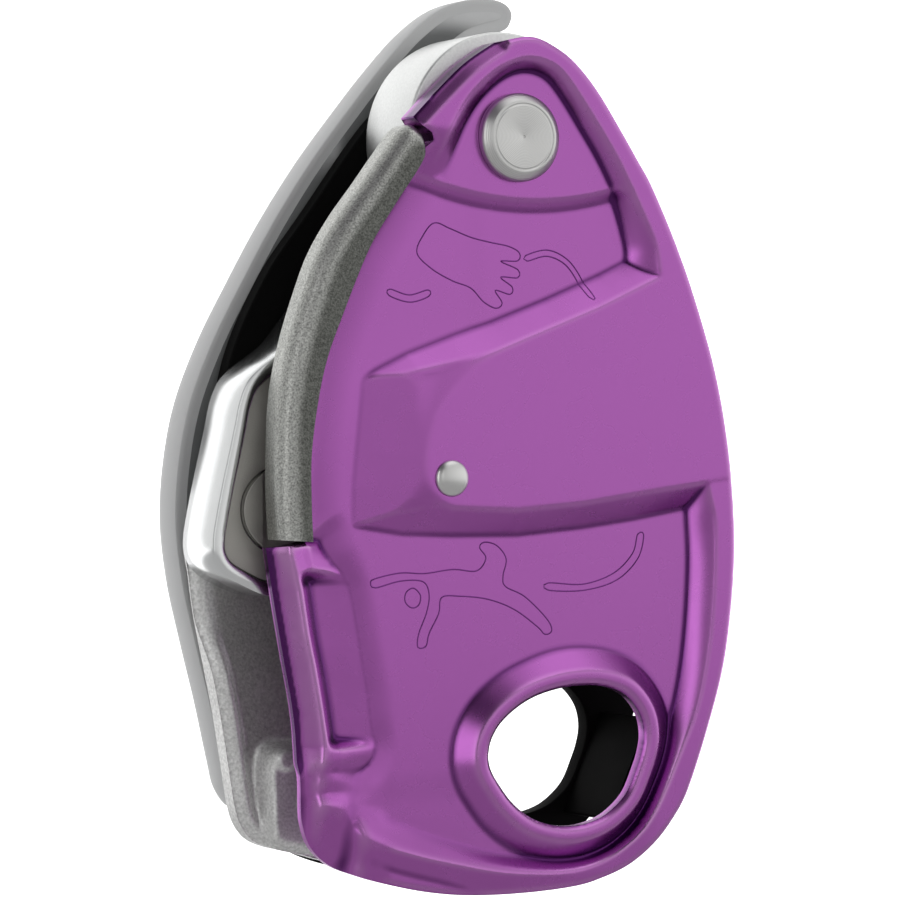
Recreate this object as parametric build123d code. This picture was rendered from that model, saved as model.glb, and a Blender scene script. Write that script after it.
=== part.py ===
"""Assisted-braking belay device: hinged side plate, pinching cam and release handle.

Frame: +X to the right, +Y to the back, +Z up, millimetres.  The origin is the centre of the
attachment hole, half way through the rope channel.  Outlines are drawn in (X, Z) and extruded
along Y.
"""
import os
from math import cos, radians, sin

from build123d import *

# ---------------------------------------------------------------- driving dimensions (mm)
# depth levels, front (-Y) to back (+Y)
RIM_Y = -9.0            # raised rim, pad and ring of the moving plate
STRIP_Y = -8.0          # raised strip at the lower left of the moving plate
SEAT_Y = -7.2           # seat of the hinge rivet
FLOOR_Y = -6.6          # pressed floor of the moving plate
SHEET_BACK_Y = -4.8     # inner face of the moving plate
CHANNEL_FRONT_Y = -4.2  # inner face of the wear bar's tongue
CAM_FRONT_Y, CAM_FACE_Y, CAM_BACK_Y = -2.1, -0.9, 6.3
PLATE_FRONT_Y, PLATE_BACK_Y = 6.6, 9.0
HANDLE_FRONT_Y, HANDLE_BACK_Y = 9.8, 16.6

# axes
HINGE = (-5.7, 69.8)    # side plate hinge
AXLE = (-32.5, 28.0)    # cam and handle
PIVOT_R = 3.0           # shaft radius of both axes
RUN_GAP = 0.05          # radial running clearance

# hinge
HEAD_R, HEAD_T = 5.0, 1.65
BLOCK_R, BLOCK_BOTTOM_Z = 12.2, 64.5

# cam
LOBE, LOBE_R = (-8.0, 36.0), 14.0
CAM_RIM = 1.5
DISC_R, DISC_T = 4.6, 0.85
PIN_R, PIN_ARM, PIN_ANGLE = 1.5, 12.0, 60.0
CAM_TRAVEL = 18.0

# attachment hole: an egg about 20 wide and 16 high
HOLE = [(-10.0, 0.6), (-8.4, 4.1), (-4.3, 6.8), (0.4, 7.9), (5.4, 7.7), (8.9, 5.5), (10.1, 2.0),
        (9.2, -1.4), (7.7, -4.4), (5.0, -6.8), (0.4, -7.8), (-4.5, -6.7), (-8.9, -2.5)]
RING_W = 2.2
FAR_HOLE_SHIFT = 1.2

# moving plate, clockwise from the top-left corner round the right side to the lower left
PLATE_RIGHT = [(-8.9, 80.3), (-4.6, 81.1), (-1.0, 79.8), (1.6, 77.9), (4.2, 75.0), (6.8, 71.3), (9.2, 67.7),
               (11.3, 64.4), (14.6, 57.6), (17.3, 50.7), (19.5, 43.9), (21.0, 37.0), (21.9, 30.0),
               (22.2, 23.1), (21.7, 16.0), (20.6, 9.3), (18.5, 2.4), (15.9, -4.4), (13.8, -7.7),
               (11.4, -10.3), (8.3, -12.6), (5.0, -14.0), (1.7, -14.8), (-4.8, -15.3), (-11.2, -15.3),
               (-17.0, -14.6), (-22.6, -13.3), (-26.0, -12.2), (-28.6, -10.9), (-30.6, -8.9),
               (-31.5, -6.4), (-31.7, -5.0)]
PLATE_LEFT = [(-31.7, -5.0), (-32.4, 5.7), (-33.7, 12.5), (-35.7, 23.6), (-31.8, 24.4),
              (-32.0, 29.0), (-32.0, 34.0), (-31.3, 39.4), (-30.2, 44.3), (-28.4, 49.0),
              (-25.0, 56.7), (-22.0, 61.4), (-18.6, 66.2), (-17.8, 68.2), (-16.7, 69.2),
              (-18.4, 70.4), (-19.2, 71.7), (-16.5, 74.4), (-12.7, 77.9), (-8.9, 80.3)]
POCKET_UP = [(10.2, 57.0), (8.2, 61.5), (4.4, 68.0), (0.8, 74.4), (-3.6, 77.0), (-8.0, 76.0),
             (-13.0, 71.5), (-15.4, 66.5), (-16.5, 62.5), (-50.0, 62.5), (-50.0, 24.4),
             (-24.5, 24.4), (-22.0, 27.6), (-22.0, 36.0), (-20.0, 41.0), (-14.0, 45.2),
             (-5.0, 48.2), (5.0, 52.3), (9.6, 54.5)]
POCKET_LOW = [(-33.5, 24.4), (-33.5, 26.4), (-20.0, 26.3), (-6.3, 26.4), (4.0, 27.6), (13.0, 29.2),
              (17.4, 28.8), (18.8, 26.0), (18.8, 18.0), (17.6, 9.5), (15.0, 1.6), (11.4, -4.4),
              (5.0, -9.6), (-3.0, -11.6), (-11.0, -11.6), (-18.0, -10.2), (-22.0, -7.0),
              (-23.4, -2.0), (-23.4, 5.0), (-24.9, 12.0), (-26.2, 18.0), (-28.6, 21.6)]
PAD_BACK = [(-17.0, 30.5), (-17.0, 38.5), (-12.0, 42.3), (-3.0, 45.6), (6.0, 49.6), (11.5, 52.4),
            (14.5, 48.0), (17.5, 38.0), (18.0, 32.6), (8.0, 31.6), (-4.0, 30.4)]
GROOVE = [(-31.2, 19.6), (-29.9, 12.6), (-28.6, 3.6), (-25.3, 2.6), (-26.4, 11.0), (-28.0, 18.0),
          (-30.0, 21.2)]
STRIP = [(-36.5, 24.4), (-32.2, 24.4), (-28.4, 21.4), (-26.0, 18.0), (-24.7, 12.0), (-23.2, 5.0),
         (-23.2, -2.0), (-21.8, -7.0), (-18.0, -16.0), (-36.5, -16.0)]

# wear bar on the left edge of the moving plate
BAR_INNER = [(-31.8, 24.8), (-31.9, 29.0), (-31.9, 34.0), (-31.2, 39.4), (-30.1, 44.3),
             (-28.3, 49.0), (-24.9, 56.7), (-21.9, 61.4), (-18.5, 66.2), (-17.7, 68.2)]
BAR_OUTER = [(-17.8, 70.0), (-19.0, 70.8), (-20.4, 70.2), (-22.4, 67.7), (-25.1, 64.1), (-28.1, 60.2),
             (-30.6, 56.1), (-32.4, 51.6), (-33.8, 47.4), (-34.8, 43.4), (-35.4, 39.4),
             (-35.6, 34.6), (-35.6, 29.7), (-35.3, 24.8)]
BAR_FRONT_Y = -8.6
TONGUE = [(-33.0, 26.0), (-13.0, 26.0), (-12.5, 40.0), (-16.0, 56.0), (-22.0, 60.0), (-30.0, 42.0)]
WEAR_RIVET = (-15.0, 31.5)

# fixed side plate
FIXED = [(-11.0, 76.4), (-6.0, 79.4), (-1.4, 78.6), (3.2, 74.6), (6.9, 69.6), (10.2, 64.2), (13.5, 57.0),
         (16.4, 50.0), (18.6, 43.0), (20.2, 35.0), (21.0, 28.9), (21.1, 22.0), (20.5, 15.0),
         (19.3, 8.6), (17.3, 2.0), (14.6, -4.4), (12.4, -7.9), (7.6, -11.9), (0.5, -13.9),
         (-10.2, -14.3), (-20.0, -13.2), (-27.6, -10.4), (-29.8, -6.0), (-30.4, 6.0), (-31.6, 15.0),
         (-36.0, 22.0), (-36.6, 32.0), (-35.1, 43.9), (-30.7, 53.8), (-25.1, 61.6), (-16.8, 72.5)]

# forged lower block
LOWER_BLOCK = [(-40.0, 24.6), (-39.2, 16.7), (-37.9, 11.1), (-36.7, 5.5), (-35.7, -0.2),
               (-34.8, -5.0), (-34.0, -8.4), (-32.0, -10.2), (-28.0, -11.2), (-22.0, -12.4),
               (-20.0, -8.0), (-22.0, 4.0), (-23.5, 17.0), (-36.0, 17.5), (-36.8, 24.8)]
BLOCK_FACE_Y, BLOCK_BACK_Y = 5.4, 9.4
CAM_CLEAR_Z = 16.2      # the cam sweeps over everything above this in front of the plate
BLOCK_RIM = [(-38.9, 16.9), (-37.9, 11.1), (-36.7, 5.5), (-35.7, -0.2), (-34.8, -5.0),
             (-34.0, -8.4), (-32.0, -10.2), (-28.0, -11.2), (-22.0, -12.4), (-21.6, -10.2),
             (-28.0, -8.8), (-30.6, -8.2), (-32.2, -5.2), (-33.2, 0.0), (-34.2, 5.5),
             (-35.5, 11.1), (-36.2, 16.9)]
BLOCK_PAD = [(-31.6, -8.6), (-31.9, 0.0), (-30.6, 1.6), (-24.0, 1.6), (-22.5, -10.4)]
BLOCK_RIVETS = [(-26.2, 6.9), (-26.2, -5.0)]

# friction plate above the attachment hole
FRICTION_X, FRICTION_Z = (-19.0, 8.0), (9.3, 12.1)
FRICTION_RIVETS = [(-15.0, 10.7), (4.0, 10.7)]

# spacer wall between the plates, to the right of the attachment hole
SPACER = [(13.2, 3.8), (15.2, 3.4), (11.2, -5.6), (9.6, -7.9), (8.05, -8.0)]

# cam outline: visible lever side, then the hidden underside
CAM_SIDE = [(-8.0, 50.0), (-20.0, 51.6), (-27.6, 51.0), (-31.1, 46.9), (-35.0, 43.7),
            (-37.2, 40.9), (-38.3, 36.7), (-39.8, 31.5), (-41.1, 24.6), (-40.0, 21.5),
            (-37.4, 19.8), (-34.4, 18.3), (-26.0, 18.2), (-14.6, 23.7)]

# release handle
GRIP = [(1.9, 83.8), (2.9, 84.8), (3.1, 85.9), (2.4, 86.9), (0.9, 87.4), (-1.0, 87.4), (-3.4, 87.1),
        (-6.2, 86.1), (-8.6, 84.5), (-11.2, 82.2), (-14.4, 78.7), (-17.5, 75.0), (-23.1, 67.9),
        (-27.9, 60.8), (-31.9, 53.9), (-35.6, 47.0), (-38.4, 40.1), (-39.8, 33.4), (-40.2, 26.6),
        (-39.4, 19.8), (-37.8, 13.0), (-36.0, 6.1), (-34.4, -0.8), (-33.6, -3.8), (-32.0, -6.0),
        (-29.8, -6.6), (-27.6, -4.6), (-25.2, 4.0), (-22.6, 14.0), (-20.9, 24.0), (-20.9, 34.0),
        (-21.6, 44.0), (-20.8, 53.0), (-17.0, 62.4), (-11.8, 71.4), (-7.4, 77.8), (-2.6, 82.2)]
ARM_LINE = [AXLE, (-30.0, 42.0), (-24.0, 56.0), (-15.0, 70.0), (-10.0, 76.0)]
ARM_W, ARM_HUB_R, ARM_BACK_Y = 4.6, 6.0, 12.0
HANDLE_RIVETS = [(-24.0, 56.0), (-12.6, 73.0)]
STOP_PIN = (-13.6, 61.2)


# ---------------------------------------------------------------- helpers
def slab(face, y0, y1):
    """Extrude a face drawn in (X, Z) from depth y0 to depth y1."""
    return Pos(0, y1, 0) * extrude(Plane.XZ * face, amount=y1 - y0)


def poly(points, r=0.0):
    """Polygon face with its corners rounded by r."""
    face = make_face(Polyline(*points, close=True))
    return fillet(face.vertices(), r) if r else face


def sampled(curve, count):
    """Points along a curve, so that long outlines stay simple facets."""
    return [(p.X, p.Y) for p in (curve @ (i / count) for i in range(count))]


def smooth(points, count=60):
    """Face inside a closed smooth curve."""
    return poly(sampled(Spline(*points, periodic=True), count))


def disc(centre, r):
    return Pos(centre[0], centre[1]) * Circle(r)


def rod(centre, r, y0, y1):
    """Round bar along Y."""
    return slab(disc(centre, r), y0, y1)


def stadium(p, q, width):
    """Straight strip with round ends."""
    a, b = Vector(*p), Vector(*q)
    return Pos((a + b) / 2) * Rot(0, 0, (b - a).get_angle(Vector(1, 0)) * (1 if q[1] >= p[1] else -1)) \
        * SlotCenterToCenter((b - a).length, width)


def coil(centre, r, wire, y0, y1, turns):
    """Torsion spring: a helix round a Y axis."""
    pitch = (y1 - y0 - 2 * wire) / turns
    path = Helix(pitch, pitch * turns, r)
    body = sweep(Plane(path @ 0, z_dir=path % 0) * Circle(wire), path, is_frenet=True)
    return Pos(centre[0], y1 - wire, centre[1]) * (Rot(90, 0, 0) * body)


def rivet(centre, r, y0, y1, front=None, back=None):
    """Shank from y0 to y1 with optional heads: (radius, thickness, edge round)."""
    body = rod(centre, r, y0, y1)
    if front:
        head = rod(centre, front[0], y0 - front[1], y0)
        body += fillet(head.faces().sort_by(Axis.Y)[0].edges(), front[2])
    if back:
        head = rod(centre, back[0], y1, y1 + back[1])
        body += fillet(head.faces().sort_by(Axis.Y)[-1].edges(), back[2])
    return body


def attachment_hole(shift=0.0, grow=0.0):
    face = Pos(shift, 0) * smooth(HOLE)
    return offset(face, grow) if grow else face


def plate_outline():
    return poly(sampled(Spline(*PLATE_RIGHT), 56) + PLATE_LEFT[:-1])


# ---------------------------------------------------------------- frame
def fixed_side_plate():
    """Flat back plate with the hinge, axle, attachment and rivet holes and the drive-pin slot."""
    body = slab(poly(FIXED, 1.2), PLATE_FRONT_Y, PLATE_BACK_Y)
    cuts = [attachment_hole(FAR_HOLE_SHIFT), disc(HINGE, PIVOT_R), disc(AXLE, PIVOT_R), disc(STOP_PIN, 1.5)]
    cuts += [disc(p, 1.3) for p in BLOCK_RIVETS] + [disc(p, 1.0) for p in FRICTION_RIVETS]
    cuts += [disc(pin_centre(-step), PIN_R + 0.35) for step in range(-2, int(CAM_TRAVEL) + 4, 2)]
    for cut in cuts:
        body -= slab(cut, PLATE_FRONT_Y - 1, PLATE_BACK_Y + 1)
    return body


def lower_block():
    """Forged guide at the lower left: recessed face, raised rim, raised pad and a small boss."""
    face = poly(LOWER_BLOCK)
    body = slab(face, BLOCK_FACE_Y, BLOCK_BACK_Y)
    body += slab(poly(BLOCK_RIM), BLOCK_FACE_Y - 0.9, BLOCK_FACE_Y)
    body += slab(poly(BLOCK_PAD), 2.6, BLOCK_FACE_Y)
    body += rod((-29.8, 0.2), 1.3, 1.9, 2.6)
    body -= slab(poly([(-50, CAM_CLEAR_Z), (-20, CAM_CLEAR_Z), (-20, 30), (-50, 30)]), 0.0, PLATE_FRONT_Y)
    body -= slab(poly(FIXED, 1.2), PLATE_FRONT_Y, BLOCK_BACK_Y + 1)
    for p in BLOCK_RIVETS:
        body -= rod(p, 1.3, 0, 12)
    return body


def hinge_block():
    """Spacer between the plates at the hinge; its flat underside clears the rope."""
    keep = Pos(0, BLOCK_BOTTOM_Z + 25) * Rectangle(80, 50)
    body = slab(disc(HINGE, BLOCK_R) & keep, CHANNEL_FRONT_Y, PLATE_FRONT_Y)
    return body - rod(HINGE, PIVOT_R, -6, 8)


def hinge_rivet():
    """Flat-headed rivet the side plate turns on."""
    front = SEAT_Y - RUN_GAP
    body = rod(HINGE, PIVOT_R, front, PLATE_BACK_Y)
    head = rod(HINGE, HEAD_R, front - HEAD_T, front)
    body += chamfer(head.faces().sort_by(Axis.Y)[0].edges(), 0.6)
    back = rod(HINGE, 4.5, PLATE_BACK_Y, PLATE_BACK_Y + 1.2)
    return body + fillet(back.faces().sort_by(Axis.Y)[-1].edges(), 0.5)


def hinge_washer():
    return rod(HINGE, 6.0, SHEET_BACK_Y + 0.05, CHANNEL_FRONT_Y) - rod(HINGE, PIVOT_R, -6, -3)


def friction_plate():
    """Hard shoe the cam pinches the rope against."""
    x0, x1 = FRICTION_X
    z0, z1 = FRICTION_Z
    face = Pos((x0 + x1) / 2, (z0 + z1) / 2) * RectangleRounded(x1 - x0, z1 - z0, 1.1)
    body = slab(face, -3.8, PLATE_FRONT_Y)
    for p in FRICTION_RIVETS:
        body -= rod(p, 1.0, 2.6, 8)
    return body


def plate_spacer():
    """Wall between the plates that closes the rope channel to the right of the hole."""
    return slab(poly(SPACER, 0.3), CHANNEL_FRONT_Y, PLATE_FRONT_Y)


def friction_rivet(centre):
    return rivet(centre, 1.0, 2.6, PLATE_BACK_Y, back=(1.9, 0.5, 0.2))


def block_rivet(centre, face_y):
    return rivet(centre, 1.3, face_y, PLATE_BACK_Y, front=(2.2, 0.5, 0.2), back=(2.2, 0.5, 0.2))


def cam_axle():
    """Axle of the cam and the handle, with a slotted front disc."""
    body = rod(AXLE, PIVOT_R, CAM_FACE_Y - 0.05, ARM_BACK_Y + 1.4)
    body += rod(AXLE, DISC_R, CAM_FACE_Y - 0.05 - DISC_T, CAM_FACE_Y - 0.05)
    slot = Pos(AXLE[0], AXLE[1]) * Rectangle(1.4, 12)
    body -= slab(slot, -3, CAM_FACE_Y - 0.5)
    groove = rod(AXLE, PIVOT_R + 1, ARM_BACK_Y + 0.1, ARM_BACK_Y + 0.9) - rod(AXLE, PIVOT_R - 0.5, 10, 16)
    return body - groove


def axle_ring():
    """Retaining ring in the groove at the back end of the axle."""
    body = rod(AXLE, 4.9, ARM_BACK_Y + 0.1, ARM_BACK_Y + 0.9)
    body -= rod(AXLE, PIVOT_R - 0.5, 10, 16)
    return body - slab(Pos(AXLE[0], AXLE[1] - 4) * Rectangle(3.2, 6), 10, 16)


def cam_spring():
    return coil(AXLE, 4.4, 0.3, 4.7, 6.5, 2)


def handle_stop():
    return rivet(STOP_PIN, 1.5, PLATE_FRONT_Y, 11.4)


# ---------------------------------------------------------------- moving side plate
def moving_side_plate():
    """Pressed plate: sunk floors, raised rim, raised pad, ring round the hole, edge strip."""
    outline = plate_outline()
    body = slab(outline, RIM_Y, SHEET_BACK_Y)
    for pocket in (poly(POCKET_UP, 0.8), poly(POCKET_LOW, 0.8)):
        body -= slab(pocket, RIM_Y - 1, FLOOR_Y)
    body += slab(attachment_hole(grow=RING_W), RIM_Y, FLOOR_Y)
    body += rod(HINGE, 7.0, SEAT_Y, FLOOR_Y)
    strip = poly(STRIP)
    body -= slab(strip, RIM_Y - 1, STRIP_Y)
    body += slab(outline & strip, SHEET_BACK_Y, CHANNEL_FRONT_Y - 0.1)
    body -= slab(poly(GROOVE), RIM_Y - 1, -6.4)
    body -= slab(poly(PAD_BACK, 1.5), RIM_Y + 1.8, SHEET_BACK_Y + 1)
    body -= slab(attachment_hole(), RIM_Y - 1, 0)
    body -= rod(HINGE, PIVOT_R + RUN_GAP, RIM_Y - 2, 0)
    body -= rod(WEAR_RIVET, 1.25, RIM_Y - 1, 0)
    return body - slab(poly(BAR_INNER + BAR_OUTER), RIM_Y - 1, 0)


def wear_bar():
    """Hard bar on the rope edge, with a thin tongue behind the plate that the rivet holds."""
    bar = slab(poly(BAR_INNER + BAR_OUTER), BAR_FRONT_Y, CHANNEL_FRONT_Y)
    tongue = slab(poly(TONGUE, 1.5), SHEET_BACK_Y, CHANNEL_FRONT_Y)
    return bar + tongue - rod(WEAR_RIVET, 1.25, -8, 0)


def wear_rivet():
    """Domed rivet: head on the pad, tail flush with the tongue."""
    body = rod(WEAR_RIVET, 1.25, RIM_Y, CHANNEL_FRONT_Y)
    head = rod(WEAR_RIVET, 2.05, RIM_Y - 0.95, RIM_Y)
    return body + fillet(head.faces().sort_by(Axis.Y)[0].edges(), 0.85)


# ---------------------------------------------------------------- cam
def cam_outline():
    return poly(CAM_SIDE, 0.9) + disc(LOBE, LOBE_R)


def cam_recess(inset):
    """Sunk face on the lever side of the cam."""
    side = offset(poly(CAM_SIDE, 0.9), -inset)
    return side & (Pos(-32.0, 36.0) * Rectangle(21.0, 60.0))


def cam_body():
    body = slab(cam_outline(), CAM_FRONT_Y, CAM_BACK_Y)
    body -= slab(cam_recess(CAM_RIM), CAM_FRONT_Y - 1, CAM_FACE_Y)
    body -= rod(AXLE, PIVOT_R + RUN_GAP, -5, 8)
    body -= rod(AXLE, 5.6, 4.3, 8)
    body -= slab(Pos(AXLE[0] + 4.4, AXLE[1] - 2.2) * Rectangle(2.2, 6.5), 4.3, 8)
    body -= rod(pin_centre(0), PIN_R, 3.5, 8)
    groove = Pos(LOBE[0], 2.1, LOBE[1]) * (Rot(90, 0, 0) * Torus(LOBE_R + 4.6, 5.4))
    keep = slab(Pos(LOBE[0] + 12, LOBE[1]) * Rectangle(26, 60), -10, 10)
    return body - (groove & keep)


def cam_face_insert():
    """Dark cover set into the cam's sunk face, with a window for the axle's disc."""
    body = slab(cam_recess(CAM_RIM + 0.15), CAM_FACE_Y - 0.7, CAM_FACE_Y)
    return body - rod(AXLE, DISC_R + 0.3, -4, 0)


def pin_centre(turn):
    a = radians(PIN_ANGLE + turn)
    return (AXLE[0] + PIN_ARM * cos(a), AXLE[1] + PIN_ARM * sin(a))


def cam_drive_pin():
    return rod(pin_centre(0), PIN_R, 3.5, 9.4)


# ---------------------------------------------------------------- handle
def arm_face(width, hub_r):
    face = disc(AXLE, hub_r)
    for p, q in zip(ARM_LINE, ARM_LINE[1:]):
        face += stadium(p, q, width)
    return face


def handle_grip():
    """Moulded lever, crowned at the back, with a pocket for the steel arm and the axle end."""
    body = slab(smooth(GRIP), HANDLE_FRONT_Y, HANDLE_BACK_Y - 1.8)
    body += slab(offset(poly(GRIP), -0.9), HANDLE_BACK_Y - 1.8, HANDLE_BACK_Y - 0.7)
    body += slab(offset(poly(GRIP), -2.0), HANDLE_BACK_Y - 0.7, HANDLE_BACK_Y)
    body -= slab(arm_face(ARM_W, ARM_HUB_R), HANDLE_FRONT_Y - 1, ARM_BACK_Y)
    body -= rod(AXLE, ARM_HUB_R, HANDLE_FRONT_Y - 1, ARM_BACK_Y + 2.0)
    for p in HANDLE_RIVETS:
        body -= rod(p, 1.1, 8, 20)
    return body


def handle_arm():
    """Steel core of the lever, running on the axle."""
    body = slab(arm_face(ARM_W, ARM_HUB_R), HANDLE_FRONT_Y + 0.1, ARM_BACK_Y)
    body -= rod(AXLE, PIVOT_R + RUN_GAP, 8, 20)
    for p in HANDLE_RIVETS:
        body -= rod(p, 1.1, 8, 20)
    return body


def handle_rivet(centre):
    return rivet(centre, 1.1, HANDLE_FRONT_Y + 0.1, HANDLE_BACK_Y, back=(2.0, 0.5, 0.3))


PARTS = {
    "fixed_side_plate": fixed_side_plate,
    "lower_block": lower_block,
    "hinge_block": hinge_block,
    "hinge_rivet": hinge_rivet,
    "hinge_washer": hinge_washer,
    "friction_plate": friction_plate,
    "plate_spacer": plate_spacer,
    "friction_rivet_1": lambda: friction_rivet(FRICTION_RIVETS[0]),
    "friction_rivet_2": lambda: friction_rivet(FRICTION_RIVETS[1]),
    "block_rivet_1": lambda: block_rivet(BLOCK_RIVETS[0], BLOCK_FACE_Y),
    "block_rivet_2": lambda: block_rivet(BLOCK_RIVETS[1], 2.6),
    "cam_axle": cam_axle,
    "axle_ring": axle_ring,
    "cam_spring": cam_spring,
    "handle_stop": handle_stop,
    "moving_side_plate": moving_side_plate,
    "wear_bar": wear_bar,
    "wear_rivet": wear_rivet,
    "cam_body": cam_body,
    "cam_face_insert": cam_face_insert,
    "cam_drive_pin": cam_drive_pin,
    "handle_grip": handle_grip,
    "handle_arm": handle_arm,
    "handle_rivet_1": lambda: handle_rivet(HANDLE_RIVETS[0]),
    "handle_rivet_2": lambda: handle_rivet(HANDLE_RIVETS[1]),
}

os.makedirs("parts", exist_ok=True)
for node, make in PARTS.items():
    shape = make()
    if len(shape.solids()) != 1 or not shape.is_valid:
        print("CHECK", node, len(shape.solids()), shape.is_valid)
    export_step(shape.solids()[0], f"parts/{node}.step")
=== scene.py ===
"""Detailed visual model of an assisted-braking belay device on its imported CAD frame.

Outlines and levels are in millimetres in the part's own frame (X right, Z up, Y to the back) and
are scaled to metres as meshes are made.  Relief heights count from Y = 0 towards the front (-Y).
"""

import bmesh
import bpy
import numpy as np
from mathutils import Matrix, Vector
from mathutils.geometry import delaunay_2d_cdt


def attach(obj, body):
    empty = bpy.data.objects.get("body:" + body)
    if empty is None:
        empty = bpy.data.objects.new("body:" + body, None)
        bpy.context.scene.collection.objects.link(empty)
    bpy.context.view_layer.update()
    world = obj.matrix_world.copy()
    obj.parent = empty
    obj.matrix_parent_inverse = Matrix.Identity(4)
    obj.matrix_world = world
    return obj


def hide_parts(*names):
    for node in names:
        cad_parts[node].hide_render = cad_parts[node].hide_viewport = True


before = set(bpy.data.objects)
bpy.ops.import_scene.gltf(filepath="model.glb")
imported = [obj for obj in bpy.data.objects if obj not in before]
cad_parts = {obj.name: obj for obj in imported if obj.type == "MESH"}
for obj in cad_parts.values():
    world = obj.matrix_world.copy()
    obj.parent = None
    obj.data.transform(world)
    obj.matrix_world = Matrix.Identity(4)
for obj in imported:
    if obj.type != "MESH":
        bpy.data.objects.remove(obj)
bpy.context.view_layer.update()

MM = 0.001

# ------------------------------------------------------------------ levels and axes (mm)
# heights of the side plate's rim, floor, hinge boss, upper floor, edge strip and outer edge
RIM, FLOOR, BOSS, ICON_FLOOR, STRIP, EDGE = 9.0, 6.6, 7.2, 6.4, 8.0, 4.35
SHEET = 1.8  # thickness of the side plate where its back is hollow
# depths of the side plate's flat back, of the space between the plates and of the fixed plate's back
PLATE_BACK, SPACE_FRONT, SPACE_BACK, FIXED_BACK = -4.8, -4.2, 6.6, 9.0
HINGE = (-5.7, 69.8)
AXLE = (-32.5, 28.0)
WEAR_RIVET = (-15.0, 31.5)

# ------------------------------------------------------------------ outlines (X, Z)
OUTLINE_RIGHT = [
    (-8.9, 80.3), (-4.6, 81.1), (-1.0, 79.8), (1.6, 77.9), (4.2, 75.0), (6.8, 71.3), (9.2, 67.7),
    (11.3, 64.4), (14.6, 57.6), (17.3, 50.7), (19.5, 43.9), (21.0, 37.0), (21.9, 30.0), (22.2, 23.1),
    (21.7, 16.0), (20.6, 9.3), (18.5, 2.4), (15.9, -4.4), (13.8, -7.7), (11.4, -10.3), (8.3, -12.6),
    (5.0, -14.0), (1.7, -14.8), (-4.8, -15.3), (-11.2, -15.3), (-17.0, -14.6), (-22.6, -13.3),
    (-26.0, -12.2), (-28.6, -10.9), (-30.6, -8.9), (-31.5, -6.4), (-31.7, -4.0)]
FLANGE = [(-31.7, -4.0), (-31.9, 0.0), (-32.4, 5.7), (-33.7, 12.5), (-35.0, 19.6), (-35.7, 23.9)]
BAR_EDGE = [
    (-31.8, 24.6), (-32.0, 29.0), (-32.0, 34.0), (-31.3, 39.4), (-30.2, 44.3), (-28.4, 49.0),
    (-25.0, 56.7), (-22.0, 61.4), (-18.6, 66.2), (-17.8, 68.2)]
NOTCH = [(-16.9, 69.0), (-17.3, 69.9), (-18.5, 70.6), (-19.2, 71.6)]
TOP_LEFT = [(-19.2, 71.6), (-16.5, 74.3), (-12.7, 77.8), (-8.9, 80.3)]

WALL_FOOT = [
    (-80.0, -3.0), (-25.9, -3.4), (-25.4, -4.9), (-23.6, -5.6), (-20.8, -6.6), (-17.5, -7.9),
    (-13.9, -9.1), (-7.3, -10.8), (0.4, -11.7), (5.3, -11.0), (9.0, -9.0), (11.3, -5.7), (13.7, 0.7),
    (15.5, 7.0), (16.5, 13.4), (17.0, 21.2), (16.8, 26.4), (16.4, 31.0), (13.6, 43.0), (9.2, 54.0),
    (8.7, 58.0), (7.2, 63.0), (4.9, 67.5), (2.2, 71.5), (0.0, 74.6), (-2.0, 76.7), (-4.5, 77.4),
    (-7.3, 76.6), (-10.4, 74.0), (-12.5, 70.9), (-13.6, 68.4), (-15.2, 65.0), (-18.6, 60.0),
    (-80.0, 56.0)]
WALL_TOP = [
    (-80.0, -3.2), (-33.2, -3.0), (-30.2, -4.1), (-27.4, -5.8), (-25.6, -7.8), (-23.0, -9.1),
    (-19.2, -10.3), (-15.2, -11.3), (-7.5, -12.8), (0.4, -13.1), (5.0, -12.0), (8.4, -9.6), (11.9, -5.5),
    (15.2, 0.8), (17.4, 5.8), (19.0, 13.5), (19.6, 21.2), (19.6, 26.3), (18.7, 30.0), (15.8, 42.0),
    (12.6, 53.4), (12.0, 56.6), (11.4, 58.7), (9.3, 62.7), (6.4, 67.9), (2.0, 74.1), (-0.8, 77.4),
    (-2.9, 78.5), (-5.2, 78.8), (-7.2, 78.3), (-9.8, 77.0), (-12.9, 74.2), (-15.0, 70.9), (-16.0, 67.8),
    (-17.2, 65.2), (-20.2, 60.4), (-80.0, 58.0)]

PAD_LEFT_FOOT = [(-26.6, -90.0), (-26.2, 30.6), (-25.7, 35.8), (-25.0, 42.0), (-22.0, 90.0)]
PAD_LEFT_TOP = [(-18.4, -90.0), (-18.3, 31.0), (-18.2, 33.7), (-17.5, 38.6), (-16.0, 43.0), (-8.0, 90.0)]
PAD_TOP_FOOT = [
    (-90.0, 18.0), (-25.0, 42.7), (-19.3, 45.4), (-13.5, 47.5), (-8.7, 49.1), (-1.8, 51.7), (5.2, 54.6),
    (9.0, 56.4), (90.0, 94.0)]
PAD_TOP_TOP = [
    (-90.0, 14.0), (-18.0, 42.3), (-11.2, 44.9), (-5.1, 47.3), (4.0, 50.8), (10.6, 53.8), (90.0, 91.0)]
PAD_LOW_FOOT = [
    (-90.0, 29.0), (-26.4, 26.3), (-20.0, 25.3), (-13.9, 25.1), (-5.4, 25.1), (3.3, 25.9), (10.0, 26.8),
    (16.4, 27.9), (90.0, 40.0)]
PAD_LOW_TOP = [
    (-90.0, 34.0), (-17.7, 29.0), (-14.6, 28.2), (-6.7, 27.9), (1.9, 28.6), (10.8, 29.9), (16.0, 30.6),
    (90.0, 40.4)]

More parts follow.
